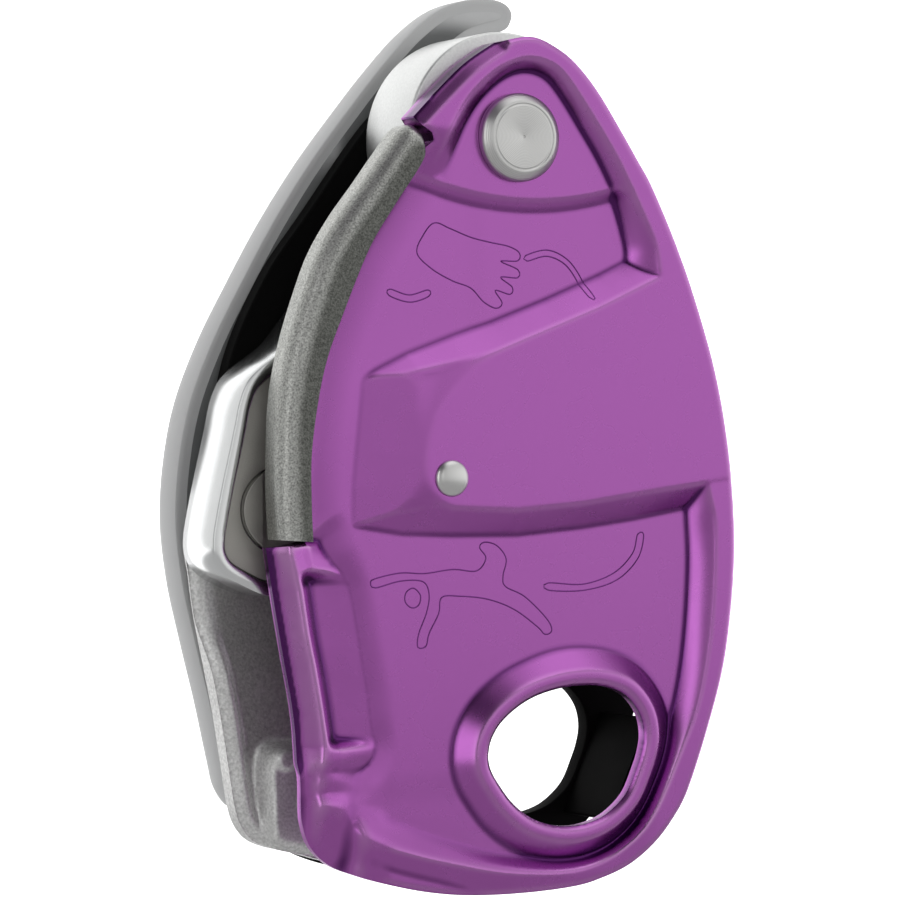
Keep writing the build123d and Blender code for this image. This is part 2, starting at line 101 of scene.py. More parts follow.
CORNER = [
    (-30.1, 24.3), (-29.3, 23.0), (-28.4, 21.9), (-27.1, 20.9), (-26.3, 19.9), (-25.9, 18.5),
    (-25.2, 15.0), (-24.6, 11.5), (-23.9, 7.9), (-23.5, 4.8), (-23.0, 2.2), (-23.2, 0.9), (-23.9, -0.3),
    (-25.2, -1.4), (-25.7, -2.6), (-25.9, -4.6)]
STRIP_RIDGE = [
    (-34.3, 24.4), (-34.2, 23.1), (-33.1, 19.3), (-32.3, 14.4), (-31.5, 10.9), (-30.6, 6.0), (-29.9, 2.0),
    (-30.4, -1.0), (-30.6, -8.0)]
GROOVE = [
    (-31.9, 24.4), (-31.3, 21.3), (-30.6, 19.7), (-30.1, 16.4), (-29.5, 12.9), (-28.7, 9.4), (-28.1, 5.9),
    (-27.7, 2.9), (-27.9, -1.0), (-28.2, -8.0)]

HOLE = [
    (-10.0, 0.6), (-9.6, 2.3), (-8.4, 4.1), (-6.4, 5.7), (-4.3, 6.8), (-2.0, 7.5), (0.4, 7.9), (2.9, 8.0),
    (5.4, 7.7), (7.5, 6.9), (9.0, 5.5), (9.9, 3.9), (10.2, 2.0), (9.9, 0.2), (9.2, -1.7), (7.8, -4.5),
    (5.4, -6.6), (2.9, -7.6), (0.4, -7.9), (-2.1, -7.6), (-4.6, -6.7), (-7.0, -4.9), (-8.9, -2.5),
    (-9.8, -0.9)]
FAR_HOLE_SHIFT = 1.2

BAR_OUTER = [
    (-17.8, 70.0), (-19.0, 70.8), (-20.4, 70.2), (-22.4, 67.7), (-25.1, 64.1), (-28.1, 60.2),
    (-30.6, 56.1), (-32.4, 51.6), (-33.8, 47.4), (-34.8, 43.4), (-35.4, 39.4), (-35.6, 34.6),
    (-35.6, 29.7), (-35.3, 24.8)]

FIXED = [
    (-11.0, 76.4), (-6.0, 79.4), (-1.4, 78.6), (3.2, 74.6), (6.9, 69.6), (10.2, 64.2), (13.5, 57.0),
    (16.4, 50.0), (18.6, 43.0), (20.2, 35.0), (21.0, 28.9), (21.1, 22.0), (20.5, 15.0), (19.3, 8.6),
    (17.3, 2.0), (14.6, -4.4), (12.4, -7.9), (7.6, -11.9), (0.5, -13.9), (-10.2, -14.3), (-20.0, -13.2),
    (-27.6, -10.4), (-29.8, -6.0), (-30.4, 6.0), (-31.6, 15.0), (-36.0, 22.0), (-36.6, 32.0),
    (-35.1, 43.9), (-30.7, 53.8), (-25.1, 61.6), (-16.8, 72.5)]

LOWER_BLOCK = [
    (-40.0, 24.4), (-39.6, 20.4), (-39.0, 16.2), (-37.9, 11.1), (-36.7, 5.5), (-35.7, -0.2),
    (-34.9, -5.0), (-34.1, -7.4), (-32.7, -9.1), (-30.6, -10.1), (-27.6, -10.8), (-22.0, -12.0),
    (-20.0, -8.0), (-21.0, 4.0), (-22.0, 20.0), (-30.0, 22.0), (-35.0, 23.6), (-36.8, 24.4)]
BLOCK_PAD = [
    (-31.8, -8.8), (-32.0, -5.0), (-32.2, -1.5), (-31.7, 0.9), (-30.4, 1.7), (-28.0, 1.8), (-15.0, 1.8),
    (-15.0, -20.0), (-30.0, -20.0)]

CAM = [
    (-8.0, 49.9), (-14.0, 50.8), (-20.0, 51.4), (-24.4, 51.9), (-27.4, 51.2), (-29.3, 49.2),
    (-31.3, 46.7), (-33.2, 45.2), (-35.2, 43.8), (-36.8, 42.2), (-37.8, 39.9), (-38.4, 37.2),
    (-39.0, 34.6), (-39.8, 31.2), (-40.6, 27.4), (-41.0, 24.8), (-40.8, 22.8), (-39.7, 21.1),
    (-37.6, 19.8), (-34.4, 18.5), (-30.0, 18.2), (-26.0, 18.4), (-20.0, 20.8), (-14.0, 22.9),
    (-8.0, 22.0), (-1.6, 23.6), (3.6, 28.2), (6.0, 34.5), (5.0, 41.4), (1.0, 46.6)]

GRIP = [
    (1.9, 83.8), (2.9, 84.8), (3.1, 85.9), (2.4, 86.9), (0.9, 87.4), (-1.0, 87.4), (-3.4, 87.1),
    (-6.2, 86.1), (-8.6, 84.5), (-11.2, 82.2), (-14.4, 78.7), (-17.5, 75.0), (-23.1, 67.9), (-27.9, 60.8),
    (-31.9, 53.9), (-35.6, 47.0), (-38.4, 40.1), (-39.8, 33.4), (-40.2, 26.6), (-39.4, 19.8),
    (-37.8, 13.0), (-36.0, 6.1), (-34.4, -0.8), (-33.6, -3.8), (-32.0, -6.0), (-29.8, -6.6),
    (-27.6, -4.6), (-25.2, 4.0), (-22.6, 14.0), (-20.9, 24.0), (-20.9, 34.0), (-21.6, 44.0),
    (-20.8, 53.0), (-17.0, 62.4), (-11.8, 71.4), (-7.4, 77.8), (-2.6, 82.2)]


# ------------------------------------------------------------------ plane geometry
def curve(points, closed=True, step=0.4):
    """Smooth Catmull-Rom curve through the points, sampled about every step mm."""
    p = np.asarray(points, float)
    n = len(p)
    out = []
    for i in range(n if closed else n - 1):
        if closed:
            a, b, c, d = p[i - 1], p[i], p[(i + 1) % n], p[(i + 2) % n]
        else:
            a, b, c, d = p[max(i - 1, 0)], p[i], p[i + 1], p[min(i + 2, n - 1)]
        k = max(1, int(np.ceil(np.linalg.norm(c - b) / step)))
        t = np.arange(k)[:, None] / k
        out.append(0.5 * (2 * b + (c - a) * t + (2 * a - 5 * b + 4 * c - d) * t ** 2
                          + (3 * b - a - 3 * c + d) * t ** 3))
    if not closed:
        out.append(p[-1:])
    return np.vstack(out)


def nearest(P, line, closed=False):
    """Distance from each point to a polyline, and the nearest points on it."""
    a = line if closed else line[:-1]
    b = np.roll(line, -1, 0) if closed else line[1:]
    ab = b - a
    den = np.maximum((ab ** 2).sum(1), 1e-12)
    best = np.empty(len(P))
    spot = np.empty((len(P), 2))
    for i in range(0, len(P), 4000):
        q = P[i:i + 4000, None, :]
        t = np.clip(((q - a) * ab).sum(2) / den, 0, 1)
        c = a + ab * t[..., None]
        d2 = ((q - c) ** 2).sum(2)
        k = d2.argmin(1)
        r = np.arange(len(k))
        best[i:i + 4000] = np.sqrt(d2[r, k])
        spot[i:i + 4000] = c[r, k]
    return best, spot


def inside(P, poly):
    """Even-odd test of points against a closed polygon."""
    res = np.zeros(len(P), bool)
    b = np.roll(poly, -1, 0)
    for (x0, z0), (x1, z1) in zip(poly, b):
        if z0 == z1:
            continue
        hit = (P[:, 1] < z0) != (P[:, 1] < z1)
        res ^= hit & (P[:, 0] < (x1 - x0) * (P[:, 1] - z0) / (z1 - z0) + x0)
    return res


def signed(P, poly):
    """Distance to a closed polygon, negative inside."""
    d, _ = nearest(P, poly, True)
    return np.where(inside(P, poly), -d, d)


def smooth(t):
    t = np.clip(t, 0, 1)
    return t * t * (3 - 2 * t)


def soft_max(a, b, k):
    m = np.clip(0.5 + 0.5 * (a - b) / k, 0, 1)
    return b + (a - b) * m + k * m * (1 - m)


def soft_min(a, b, k):
    return -soft_max(-a, -b, k)


def edge_round(d, r):
    """How far a rounded edge of radius r falls at distance d inside the edge."""
    q = np.clip(r - d, 0, r)
    return r - np.sqrt(np.maximum(r * r - q * q, 0))


def inset(loop, d):
    """Move a closed loop inwards by d, less where the shape is too narrow."""
    area = 0.5 * np.sum(loop[:, 0] * np.roll(loop[:, 1], -1) - np.roll(loop[:, 0], -1) * loop[:, 1])
    t = np.roll(loop, -1, 0) - np.roll(loop, 1, 0)
    t /= np.maximum(np.linalg.norm(t, axis=1, keepdims=True), 1e-9)
    n = np.stack([-t[:, 1], t[:, 0]], 1) * (1 if area > 0 else -1)
    if d <= 0:
        return loop + n * d
    amount = np.full(len(loop), float(d))
    for _ in range(14):
        depth = -signed(loop + n * amount[:, None], loop)
        amount = np.where(depth < 0.93 * amount, amount * 0.88, amount)
    for _ in range(12):
        amount = np.minimum(amount, (np.roll(amount, 1) + amount + np.roll(amount, -1)) / 3)
    return loop + n * amount[:, None]


class Map:
    """Values of a function on a regular grid, read between the grid points linearly."""

    def __init__(self, fn, lo, hi, step, blur=0.0):
        self.lo, self.step = np.asarray(lo, float), step
        self.shape = tuple(int(np.ceil((b - a) / step)) + 1 for a, b in zip(lo, hi))
        x, z = (lo[k] + step * np.arange(self.shape[k]) for k in (0, 1))
        X, Z = np.meshgrid(x, z, indexing="ij")
        self.values = fn(np.stack([X.ravel(), Z.ravel()], 1)).reshape(self.shape)
        if blur:
            self.values = blurred(self.values, blur / step)

    def read(self, values, P):
        g = (P - self.lo) / self.step
        i = np.clip(g.astype(int), 0, np.array(self.shape) - 2)
        f = np.clip(g - i, 0, 1)
        u, w = i[:, 0], i[:, 1]
        return ((values[u, w] * (1 - f[:, 0]) + values[u + 1, w] * f[:, 0]) * (1 - f[:, 1])
                + (values[u, w + 1] * (1 - f[:, 0]) + values[u + 1, w + 1] * f[:, 0]) * f[:, 1])

    def __call__(self, P):
        return self.read(self.values, P)


def blurred(v, sigma):
    r = int(np.ceil(2.5 * sigma))
    w = np.exp(-0.5 * (np.arange(-r, r + 1) / sigma) ** 2)
    w /= w.sum()
    for axis in (0, 1):
        pad = np.pad(v, [(r, r) if k == axis else (0, 0) for k in (0, 1)], mode="edge")
        v = sum(w[k] * np.take(pad, range(k, k + v.shape[axis]), axis) for k in range(2 * r + 1))
    return v


class Relief(Map):
    """Height map of a pressed or cast face, with its slopes and how deep its creases lie."""

    def __init__(self, fn, outline, step, blur, soften=None):
        super().__init__(fn, outline.min(0) - 1.0, outline.max(0) + 1.0, step, blur)
        if soften:
            weight = Map(soften, self.lo, outline.max(0) + 1.0, step).values
            self.values = self.values + weight * (blurred(self.values, 0.6 / step) - self.values)
        self.slopes = np.gradient(self.values, step)
        self.hollow = np.clip((blurred(self.values, 0.32 / step) - self.values) / 0.2, -1, 1)

    def normals(self, P):
        hx, hz = (self.read(g, P) for g in self.slopes)
        N = np.stack([-hx, -np.ones(len(P)), -hz], 1)
        return N / np.linalg.norm(N, axis=1, keepdims=True)


# ------------------------------------------------------------------ mesh builders
def linked(name, data):
    """New object in the scene for a mesh, light or camera."""
    ob = bpy.data.objects.new(name, data)
    bpy.context.scene.collection.objects.link(ob)
    return ob


def point_values(mesh, name, values):
    """One number for each point of a mesh, for its material to read."""
    mesh.attributes.new(name, "FLOAT", "POINT").data.foreach_set("value", values)


def within(P, outline, hole):
    """Which points lie inside the outline and outside the hole, if there is one."""
    return inside(P, outline) if hole is None else inside(P, outline) & ~inside(P, hole)


def new_object(name, verts, faces, body, material, smooth_angle=None, nodes=()):
    mesh = bpy.data.meshes.new(name)
    mesh.from_pydata([tuple(v) for v in np.asarray(verts) * MM], [], faces)
    mesh.update()
    return dress(linked(name, mesh), body, material, smooth_angle, nodes)


def dress(ob, body, material, smooth_angle=None, nodes=()):
    """Material, shading, body and the CAD nodes a piece stands for."""
    mesh = ob.data
    mesh.materials.clear()
    mesh.materials.append(material)
    if smooth_angle is not None:
        mesh.shade_smooth()
        mesh.set_sharp_from_angle(angle=np.radians(smooth_angle))
    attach(ob, body)
    if nodes:
        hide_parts(*nodes)
    return ob


def relief_piece(name, outline, relief, back, step, body, material, nodes=(), hole=None,
                 tone=None):
    """Closed mesh of a pressed or cast piece: a fine front relief, edge walls and a coarser back.

    The front is a grid over the outline with its rim snapped to the outline, and it takes its
    shading normals from the relief.  back(P, h) is the depth of the back behind height h.
    """
    lo, hi = outline.min(0) - step, outline.max(0) + step
    xs, zs = np.arange(lo[0], hi[0] + step, step), np.arange(lo[1], hi[1] + step, step)
    nx, nz = len(xs), len(zs)
    cx, cz = np.meshgrid(xs[:-1] + step / 2, zs[:-1] + step / 2, indexing="ij")
    C = np.stack([cx.ravel(), cz.ravel()], 1)
    keep = within(C, outline, hole).reshape(nx - 1, nz - 1)
    gx, gz = np.meshgrid(xs, zs, indexing="ij")
    G = np.stack([gx.ravel(), gz.ravel()], 1)
    idx = np.arange(nx * nz).reshape(nx, nz)
    i, j = np.nonzero(keep)
    quads = np.stack([idx[i, j], idx[i + 1, j], idx[i + 1, j + 1], idx[i, j + 1]], 1)
    count = np.zeros(nx * nz, int)
    np.add.at(count, quads.ravel(), 1)
    used = np.nonzero(count)[0]
    remap = -np.ones(nx * nz, int)
    remap[used] = np.arange(len(used))
    quads = remap[quads]
    P = G[used]
    rim = np.nonzero(count[used] < 4)[0]
    d, spot = nearest(P[rim], outline, True)
    if hole is not None:
        dh, spot_h = nearest(P[rim], hole, True)
        spot = np.where((dh < d)[:, None], spot_h, spot)
    P[rim] = spot
    h = relief(P)
    n, m = len(P), len(rim)
    # rim edges, in order of travel round each kept cell
    edges = np.vstack([quads[:, [k, (k + 1) % 4]] for k in range(4)])
    ends = np.sort(edges, 1).astype(np.int64)
    _, first, shared = np.unique(ends[:, 0] * n + ends[:, 1], return_index=True, return_counts=True)
    wall = edges[first[shared == 1]]
    back_of = np.full(n, -1)
    back_of[rim] = n + np.arange(m)
    # back: rim points and a coarse grid, triangulated
    pitch, margin = 1.1, 0.6
    bx, bz = (np.arange(lo[k], hi[k], pitch) for k in (0, 1))
    B = np.stack([g.ravel() for g in np.meshgrid(bx, bz, indexing="ij")], 1)
    ok = within(B, outline, hole) & (nearest(B, outline, True)[0] > margin)
    if hole is not None:
        ok &= nearest(B, hole, True)[0] > margin
    B = B[ok]
    pts = np.vstack([P[rim], B])
    slot_of = np.full(n, -1)
    slot_of[rim] = np.arange(m)
    cdt = delaunay_2d_cdt([Vector(p) for p in pts], [tuple(e) for e in slot_of[wall].tolist()], [],
                          1, 1e-7, True)
    Q = np.array([tuple(v) for v in cdt[0]])
    hq = relief(Q)
    where = []
    extra = []
    for k, origin in enumerate(cdt[3]):
        rims = [o for o in origin if o < m]
        if rims:
            where.append(n + rims[0])
        else:
            where.append(n + m + len(extra))
            extra.append(k)
    rear_rim = np.stack([P[rim][:, 0], back(P[rim], h[rim]), P[rim][:, 1]], 1)
    rear = np.stack([Q[extra][:, 0], back(Q, hq)[extra], Q[extra][:, 1]], 1)
    tri = np.array(cdt[2])
    tri = np.array(where)[tri[within(Q[tri].mean(1), outline, hole)]]
    front = np.stack([P[:, 0], -h, P[:, 1]], 1)
    verts = np.vstack([front, rear_rim, rear])
    faces = [tuple(q) for q in quads]
    faces += [(b, a, back_of[a], back_of[b]) for a, b in wall]
    # the back looks the other way, so its triangles run clockwise
    a, b, c = (verts[tri[:, k]][:, [0, 2]] for k in (0, 1, 2))
    turn = (b[:, 0] - a[:, 0]) * (c[:, 1] - a[:, 1]) - (b[:, 1] - a[:, 1]) * (c[:, 0] - a[:, 0])
    faces += [tuple(t if s < 0 else t[::-1]) for t, s in zip(tri, turn) if abs(s) > 1e-9]
    ob = new_object(name, verts, faces, body, material, None, nodes)
    mesh = ob.data
    mesh.shade_smooth()
    loops = np.zeros((len(mesh.loops), 3))
    vi = np.empty(len(mesh.loops), int)
    mesh.loops.foreach_get("vertex_index", vi)
    nf, nw = len(quads) * 4, len(wall) * 4
    loops[:nf] = relief.normals(P)[vi[:nf]]
    t = P[wall[:, 1]] - P[wall[:, 0]]
    t /= np.maximum(np.linalg.norm(t, axis=1, keepdims=True), 1e-9)
    out = np.stack([t[:, 1], np.zeros(len(t)), -t[:, 0]], 1)
    vn = np.zeros((len(verts), 3))
    np.add.at(vn, wall[:, 0], out)
    np.add.at(vn, wall[:, 1], out)
    vn[n:n + m] = vn[rim]
    vn /= np.maximum(np.linalg.norm(vn, axis=1, keepdims=True), 1e-9)
    loops[nf:nf + nw] = vn[vi[nf:nf + nw]]
    mesh.normals_split_custom_set(loops.tolist())
    # how far each point lies in a crease (+) or on an edge (-), for painted shade in creases and painted
    # highlight on edges
    cav = np.zeros(len(verts))
    cav[:n] = relief.read(relief.hollow, P)
    point_values(mesh, "crease", cav)
    if tone is not None:
        tv = np.zeros(len(verts))
        tv[:n] = tone(P)
        tv[n:n + m] = tv[rim]
        point_values(mesh, "tone", tv)
    return ob


def stack_piece(name, outline, profile, body, material, nodes=(), angle=32):
    """Closed prism from loops: each profile entry is (inset from the outline, depth Y)."""
    rings = [inset(outline, d) if d else outline for d, _ in profile]
    n = len(outline)
    verts = np.vstack([np.stack([r[:, 0], np.full(n, y), r[:, 1]], 1)
                       for r, (_, y) in zip(rings, profile)])
    faces = []
    for k in range(len(profile) - 1):
        a = k * n
        faces += [(a + i, a + (i + 1) % n, a + n + (i + 1) % n, a + n + i) for i in range(n)]
    faces += [tuple(range(n))[::-1], tuple(range((len(profile) - 1) * n, len(profile) * n))]
    ob = new_object(name, verts, faces, body, material, angle, nodes)
    return outward(ob)


def outward(ob):
    """Make the faces of a closed mesh point outwards."""
    bm = bmesh.new()
    bm.from_mesh(ob.data)
    bmesh.ops.recalc_face_normals(bm, faces=bm.faces)
    bm.to_mesh(ob.data)
    bm.free()
    return ob


def turned_piece(name, centre, profile, body, material, nodes=(), n=96, angle=30):
    """Solid of revolution about a Y axis through centre; the profile is (radius, Y)."""
    a = np.linspace(0, 2 * np.pi, n, endpoint=False)
    verts, faces, rows = [], [], []
    for r, y in profile:
        if r == 0:
            rows.append([len(verts)])
            verts.append((centre[0], y, centre[1]))
        else:
            rows.append(list(range(len(verts), len(verts) + n)))
            verts += [(centre[0] + r * np.cos(t), y, centre[1] + r * np.sin(t)) for t in a]
    for p, q in zip(rows, rows[1:]):
        for i in range(n):
            j = (i + 1) % n
            if len(p) == 1:
                faces.append((p[0], q[i], q[j]))
            elif len(q) == 1:
                faces.append((p[i], q[0], p[j]))
            else:
                faces.append((p[i], q[i], q[j], p[j]))
    return outward(new_object(name, verts, faces, body, material, angle, nodes))


def cut_piece(name, outer, holes, y0, y1, bevel, body, material, nodes=(), angle=32):
    """Flat plate with holes and rounded edges, from a filled two-dimensional curve."""
    cu = bpy.data.curves.new(name, "CURVE")
    cu.dimensions, cu.fill_mode = "2D", "BOTH"
    cu.extrude = ((y1 - y0) / 2 - bevel) * MM
    cu.bevel_depth, cu.bevel_resolution = bevel * MM, 3
    for k, loop in enumerate([outer] + list(holes)):
        area = np.sum(loop[:, 0] * np.roll(loop[:, 1], -1) - np.roll(loop[:, 0], -1) * loop[:, 1])
        loop = loop if area > 0 else loop[::-1]
        loop = inset(loop, bevel if k == 0 else -bevel)
        sp = cu.splines.new("POLY")
        sp.points.add(len(loop) - 1)
        co = np.hstack([loop * MM, np.zeros((len(loop), 1)), np.ones((len(loop), 1))])
        sp.points.foreach_set("co", co.ravel())
        sp.use_cyclic_u = True
    tmp = bpy.data.objects.new(name, cu)
    mesh = bpy.data.meshes.new_from_object(tmp)
    bpy.data.objects.remove(tmp)
    co = np.empty(len(mesh.vertices) * 3)
    mesh.vertices.foreach_get("co", co)
    co = co.reshape(-1, 3)
    co = np.stack([co[:, 0], (y0 + y1) / 2 * MM - co[:, 2], co[:, 1]], 1)
    mesh.vertices.foreach_set("co", co.ravel())
    mesh.update()
    bm = bmesh.new()
    bm.from_mesh(mesh)
    bmesh.ops.remove_doubles(bm, verts=bm.verts, dist=1e-6)
    bmesh.ops.recalc_face_normals(bm, faces=bm.faces)
    bm.to_mesh(mesh)
    bm.free()
    return dress(linked(name, mesh), body, material, angle, nodes)


def circle(centre, r, n=72):
    a = np.linspace(0, 2 * np.pi, n, endpoint=False)
    return np.stack([centre[0] + r * np.cos(a), centre[1] + r * np.sin(a)], 1)


# ------------------------------------------------------------------ materials
def blend_colour(nt, fac, a, b):
    """Mix node between two colours, each a socket or an (r, g, b)."""
    mix = nt.nodes.new("ShaderNodeMix")
    mix.data_type = "RGBA"
    nt.links.new(fac, mix.inputs["Factor"])
    for key, v in (("A", a), ("B", b)):
        if isinstance(v, tuple):
            mix.inputs[key].default_value = (*v, 1)
        else:
            nt.links.new(v, mix.inputs[key])
    return mix.outputs["Result"]


def map_range(nt, value, a, b, c=0.0, d=1.0):
    node = nt.nodes.new("ShaderNodeMapRange")
    for key, v in (("From Min", a), ("From Max", b), ("To Min", c), ("To Max", d)):
        node.inputs[key].default_value = v
    nt.links.new(value, node.inputs["Value"])
    return node.outputs["Result"]


RING_PITCH, RING_DEPTH = 0.17, 0.004


def material(name, color, metallic, rough, grain=0.0, grain_size=0.1, mottle=0.0, coat=0.0,
             rough_var=0.0, specular=0.5, speck=0.0, tone=None, tone_grain=1.0, creases=None,
             rings=None):
    """Procedural finish: faintly mottled colour, fine grain (size in mm) and varied roughness.

    speck is how strongly fine specks vary the colour.  tone is a second colour and tone_grain how
    strong the grain is, both for where the mesh's tone value is 1.  creases are two painted colours:
    painted shade in creases and painted highlight on edges.  rings is the centre of fine turned rings.
    """
    m = bpy.data.materials.new(name)
    m.use_nodes = True
    nt = m.node_tree
    N, L = nt.nodes, nt.links
    bsdf = N["Principled BSDF"]
    bsdf.inputs["Metallic"].default_value = metallic
    bsdf.inputs["Specular IOR Level"].default_value = specular
    bsdf.inputs["Coat Weight"].default_value = coat
    bsdf.inputs["Coat Roughness"].default_value = 0.2
    coord = N.new("ShaderNodeTexCoord").outputs["Object"]

    def noise(size, detail):
        node = N.new("ShaderNodeTexNoise")
        node.inputs["Scale"].default_value = 1 / (size * MM)
        node.inputs["Detail"].default_value = detail
        L.new(coord, node.inputs["Vector"])
        return node.outputs["Fac"]

    def attribute(key):
        node = N.new("ShaderNodeAttribute")
        node.attribute_name = key
        return node.outputs["Fac"]

    spots = noise(4.0, 4)
    out = blend_colour(nt, spots, tuple(c * (1 - mottle) for c in color),
                       tuple(min(1, c * (1 + mottle)) for c in color))
    if tone:
        out = blend_colour(nt, attribute("tone"), out, tone)
    if speck:
        level = map_range(nt, noise(grain_size * 1.3, 3), 0.3, 0.7, 1 - speck, 1 + speck)
        scaled = N.new("ShaderNodeVectorMath")
        scaled.operation = "SCALE"
        L.new(out, scaled.inputs[0])
        L.new(level, scaled.inputs["Scale"])
        out = scaled.outputs["Vector"]
    if creases:
        # painted shade darkens creases and painted highlight lightens edges, by the mesh's crease value
        out = blend_colour(nt, map_range(nt, attribute("crease"), 0.03, 0.42), out, creases[0])
        out = blend_colour(nt, map_range(nt, attribute("crease"), -0.05, -0.7), out, creases[1])
    L.new(out, bsdf.inputs["Base Color"])
    L.new(map_range(nt, spots, 0.2, 0.8, max(0.02, rough - rough_var), rough + rough_var),
          bsdf.inputs["Roughness"])
    normal = None
    if grain:
        bump = N.new("ShaderNodeBump")
        bump.inputs["Distance"].default_value = grain * MM
        if tone and tone_grain != 1.0:
            L.new(map_range(nt, attribute("tone"), 0, 1, 1.0, tone_grain), bump.inputs["Strength"])
        else:
            bump.inputs["Strength"].default_value = 1.0
        L.new(noise(grain_size, 2), bump.inputs["Height"])
        normal = bump.outputs["Normal"]
    if rings:
        steps = []
        for op, value in (("SUBTRACT", (rings[0] * MM, 0, rings[1] * MM)),
                          ("MULTIPLY", (1, 0, 1)), ("LENGTH", None)):
            node = N.new("ShaderNodeVectorMath")
            node.operation = op
            if value:
                node.inputs[1].default_value = value
            L.new(steps[-1].outputs[0] if steps else coord, node.inputs[0])
            steps.append(node)
        value = steps[-1].outputs["Value"]
        for op, k in (("MULTIPLY", 2 * np.pi / (RING_PITCH * MM)), ("SINE", None)):
            node = N.new("ShaderNodeMath")
            node.operation = op
            if k:
                node.inputs[1].default_value = k
            L.new(value, node.inputs[0])
            value = node.outputs["Value"]
        turned = N.new("ShaderNodeBump")
        turned.inputs["Distance"].default_value = RING_DEPTH * MM
        L.new(value, turned.inputs["Height"])
        if normal:
            L.new(normal, turned.inputs["Normal"])
        normal = turned.outputs["Normal"]
    if normal:
        L.new(normal, bsdf.inputs["Normal"])
    return m


# creases: dark purple painted shade in creases and light purple painted highlight on edges
PURPLE = material("purple_anodised", (0.405, 0.118, 0.435), 1.0, 0.27, grain=0.0018, grain_size=0.09,
                  mottle=0.04, coat=0.10, rough_var=0.03,
                  creases=((0.085, 0.014, 0.115), (0.52, 0.24, 0.53)))
# dark purple for the pictures' lines: painted shade of the pressed lines
PURPLE_LINE_SHADE = material("purple_anodised_line_shade", (0.17, 0.04, 0.21), 1.0, 0.34, grain=0.0018,
                       grain_size=0.09, mottle=0.04)
BLACK = material("black_anodised", (0.004, 0.004, 0.004), 0.0, 0.6, grain=0.004, grain_size=0.2,
                 mottle=0.2, specular=0.02, rough_var=0.05)
# tone: lighter steel along the bar's rounded left edge, partly rope wear and partly painted highlight
BLASTED = material("blasted_steel", (0.125, 0.128, 0.118), 1.0, 0.40, grain=0.05, grain_size=0.16,
                   speck=0.45, mottle=0.12, rough_var=0.05, tone=(0.40, 0.405, 0.385), tone_grain=0.5)
FORGED = material("forged_silver", (0.72, 0.73, 0.72), 0.9, 0.40, grain=0.012, grain_size=0.22,
                  speck=0.06, mottle=0.08, rough_var=0.06)
CAST = material("cast_silver", (0.66, 0.66, 0.65), 0.55, 0.42, grain=0.016, grain_size=0.25,
                mottle=0.08, rough_var=0.06, tone=(0.40, 0.40, 0.385), tone_grain=3.0, speck=0.22)
POLISHED = material("polished_steel", (0.72, 0.73, 0.73), 1.0, 0.22, grain=0.002, grain_size=0.2,
                    mottle=0.03, rough_var=0.04)
SATIN = material("satin_stainless", (0.60, 0.60, 0.59), 1.0, 0.30, grain=0.004, grain_size=0.12,
                 mottle=0.05, rough_var=0.04)
TURNED = material("turned_stainless", (0.58, 0.58, 0.57), 1.0, 0.32, grain=0.004, grain_size=0.12,
                  mottle=0.07, rough_var=0.05, rings=HINGE)
DARK = material("dark_steel", (0.17, 0.165, 0.15), 1.0, 0.42, grain=0.014, grain_size=0.2,
                mottle=0.15, rough_var=0.06)
COVER = material("cam_cover", (0.40, 0.39, 0.36), 0.6, 0.48, grain=0.022, grain_size=0.2,
                 mottle=0.15, rough_var=0.06)
PLASTIC = material("grey_plastic", (0.57, 0.575, 0.575), 0.0, 0.42, grain=0.003, grain_size=0.2,
                   mottle=0.03, specular=0.3, rough_var=0.04)
# tone: dark grey painted shade on the handle's front face
PLASTIC_SHADED_FACE = material("grey_plastic_painted_shade", (0.58, 0.585, 0.585), 0.0, 0.45, grain=0.003,
                        grain_size=0.2, mottle=0.03, specular=0.3, rough_var=0.04,
                        tone=(0.15, 0.155, 0.155))

# ------------------------------------------------------------------ moving side plate
outline = np.vstack([curve(OUTLINE_RIGHT, False), curve(FLANGE, False)[1:], curve(BAR_EDGE, False),
                     np.array(NOTCH), curve(TOP_LEFT, False)[1:-1]])
hole = curve(HOLE)
wall_foot, wall_top = curve(WALL_FOOT, step=0.8), curve(WALL_TOP, step=0.8)
span = (outline.min(0) - 1.5, outline.max(0) + 1.5)
to_foot, to_top, to_edge, to_hole = (Map(lambda P, line=line: signed(P, line), *span, 0.35)
                                     for line in (wall_foot, wall_top, outline, hole))
left_edge = np.vstack([curve(CORNER[::-1], False), curve(BAR_EDGE, False)])
top_left = curve(TOP_LEFT, False)


def across(P, foot, top, far, grow):
    """0 on the foot line, 1 on the top line of a sloped wall, going on past both slowly."""
    a, b = np.array(foot + far, float), np.array(top + far, float)
    df, dt = nearest(P, np.array(foot, float))[0], nearest(P, np.array(top, float))[0]
    above_foot, above_top = inside(P, a), inside(P, b)
    return np.where(above_top, 1 + dt * grow, np.where(above_foot, df / (df + dt + 1e-9), -df * grow))


FAR = 90  # beyond every edge of the plate, to close the pad's half planes
PAST_WALL = 0.12  # how fast a pad wall's value goes on past its foot and top, per mm


def pad_height(P):
    """0 to 1 over the raised pad: three sloped walls that meet in mitres, rounded at the corners."""
    left = across(P, PAD_LEFT_FOOT, PAD_LEFT_TOP, [(FAR, FAR), (FAR, -FAR)], PAST_WALL)
    top = across(P, PAD_TOP_FOOT, PAD_TOP_TOP, [(FAR, -FAR), (-FAR, -FAR)], PAST_WALL)
    low = across(P, PAD_LOW_FOOT, PAD_LOW_TOP, [(FAR, FAR), (-FAR, FAR)], PAST_WALL)
    m = np.clip(np.minimum(left, top), 0, 1)
    k = 0.04 + 0.85 * smooth((m - 0.45) / 0.55) + 0.25 * smooth((0.2 - m) / 0.2)
    both = soft_min(left, top, k)
    m = np.clip(np.minimum(both, low), 0, 1)
    both = soft_min(both, low, 0.04 + 0.45 * smooth((m - 0.5) / 0.5))
    return both


def ease(t, r):
    """Straight ramp from 0 to 1 with short blends at its ends."""
    lo = soft_max(t, np.zeros_like(t), r)
    return soft_min(lo, np.ones_like(t), r)


